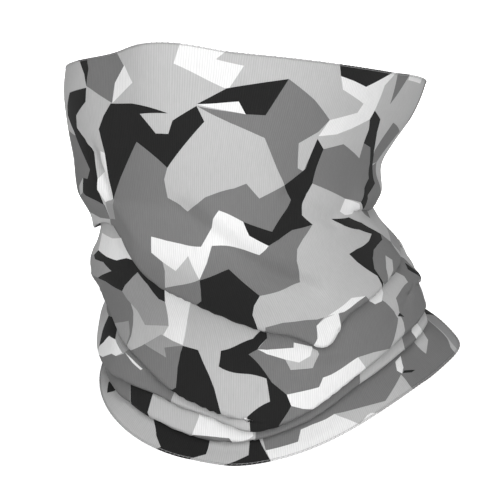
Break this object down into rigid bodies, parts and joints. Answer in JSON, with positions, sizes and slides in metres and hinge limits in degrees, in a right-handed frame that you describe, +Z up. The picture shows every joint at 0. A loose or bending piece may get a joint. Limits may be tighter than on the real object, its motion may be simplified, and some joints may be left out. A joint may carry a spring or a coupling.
{
  "type": "neck gaiter",
  "caption": "Seamed tube of printed stretch knit, shaped as worn over a nose, jaw and neck, with a tapered throat and a hem that dips at the front.",
  "frame": {"origin": "on the wearer's neck axis, level with the lowest point of the hem at the front", "axes": "+Z up along the neck, the wearer faces -Y, and +X is the wearer's left"},
  "size_m": [0.1797, 0.2111, 0.2131],
  "materials": {
    "printed_knit": "matte",
    "edge_thread": "matte",
    "seam_thread": "matte"
  },
  "bodies": {
    "root": {"fabric_tube": "printed_knit", "top_edge_overlock": "edge_thread", "bottom_edge_overlock": "edge_thread", "back_seam_flatlock": "seam_thread"}
  },
  "joints": []
}
